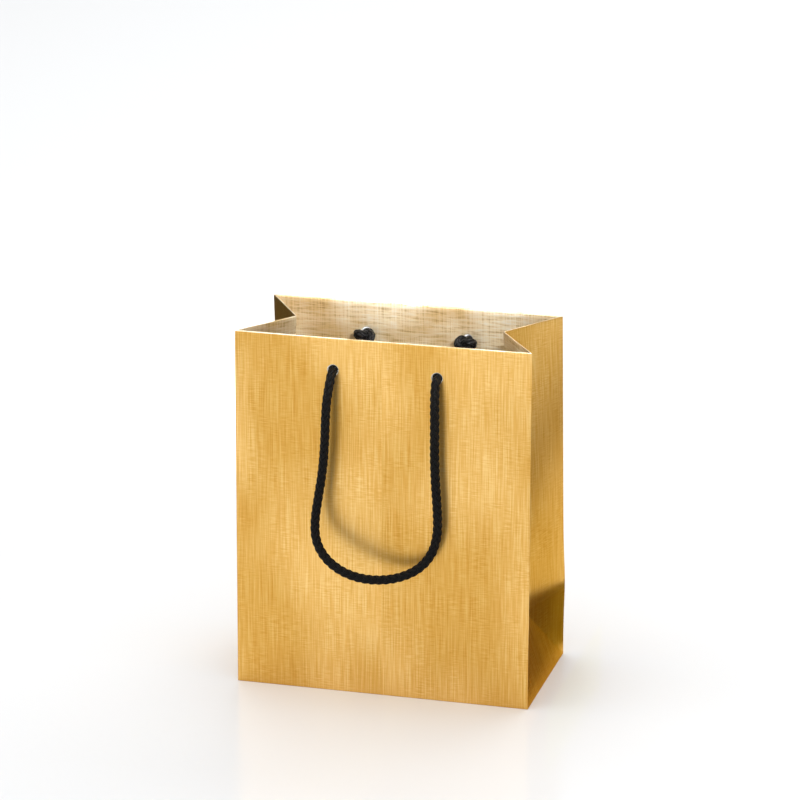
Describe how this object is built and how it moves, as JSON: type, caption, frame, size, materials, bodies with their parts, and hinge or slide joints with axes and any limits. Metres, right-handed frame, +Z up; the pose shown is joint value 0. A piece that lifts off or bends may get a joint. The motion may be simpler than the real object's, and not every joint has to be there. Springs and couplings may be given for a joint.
{
  "type": "gift bag",
  "caption": "Upright gusseted paper gift bag with an embossed metallic finish, a turned-in top and knotted cord handles that swing.",
  "frame": {"origin": "middle of the base's footprint, on the surface that the bag stands on", "axes": "+X along the front panel to the viewer's right, +Y from the front panel to the back panel, +Z up towards the mouth"},
  "size_m": [0.18, 0.1431, 0.22],
  "materials": {
    "gold_paper": "metallised gold film, embossed like linen, satin",
    "grey_board": "uncoated grey board, matte",
    "black_cord": "braided black cord, matte"
  },
  "bodies": {
    "root": {"back_bottom_flap": "gold_paper", "back_card": "grey_board", "back_hem": "gold_paper", "back_knot_left": "black_cord", "back_knot_right": "black_cord", "back_panel": "gold_paper", "base_board": "grey_board", "front_bottom_flap": "gold_paper", "front_card": "grey_board", "front_hem": "gold_paper", "front_knot_left": "black_cord", "front_knot_right": "black_cord", "front_panel": "gold_paper", "left_base_triangle": "gold_paper", "left_bottom_flap": "gold_paper", "left_corner_back": "gold_paper", "left_corner_front": "gold_paper", "left_gusset_back": "gold_paper", "left_gusset_front": "gold_paper", "left_hem_back": "gold_paper", "left_hem_front": "gold_paper", "right_base_triangle": "gold_paper", "right_bottom_flap": "gold_paper", "right_corner_back": "gold_paper", "right_corner_front": "gold_paper", "right_gusset_back": "gold_paper", "right_gusset_front": "gold_paper", "right_hem_back": "gold_paper", "right_hem_front": "gold_paper", "side_seam_flap": "gold_paper"},
    "front_handle": {"front_handle_cord": "black_cord"},
    "back_handle": {"back_handle_cord": "black_cord"}
  },
  "joints": [
    {"name": "front_handle_swing", "type": "hinge", "parent": "root", "child": "front_handle", "pos_m": [0, -0.04847, 0.20054], "axis": [-1, 0, 0], "range_deg": [0, 158]},
    {"name": "back_handle_swing", "type": "hinge", "parent": "root", "child": "back_handle", "pos_m": [0, 0.03907, 0.20072], "axis": [1, 0, 0], "range_deg": [0, 158]}
  ]
}
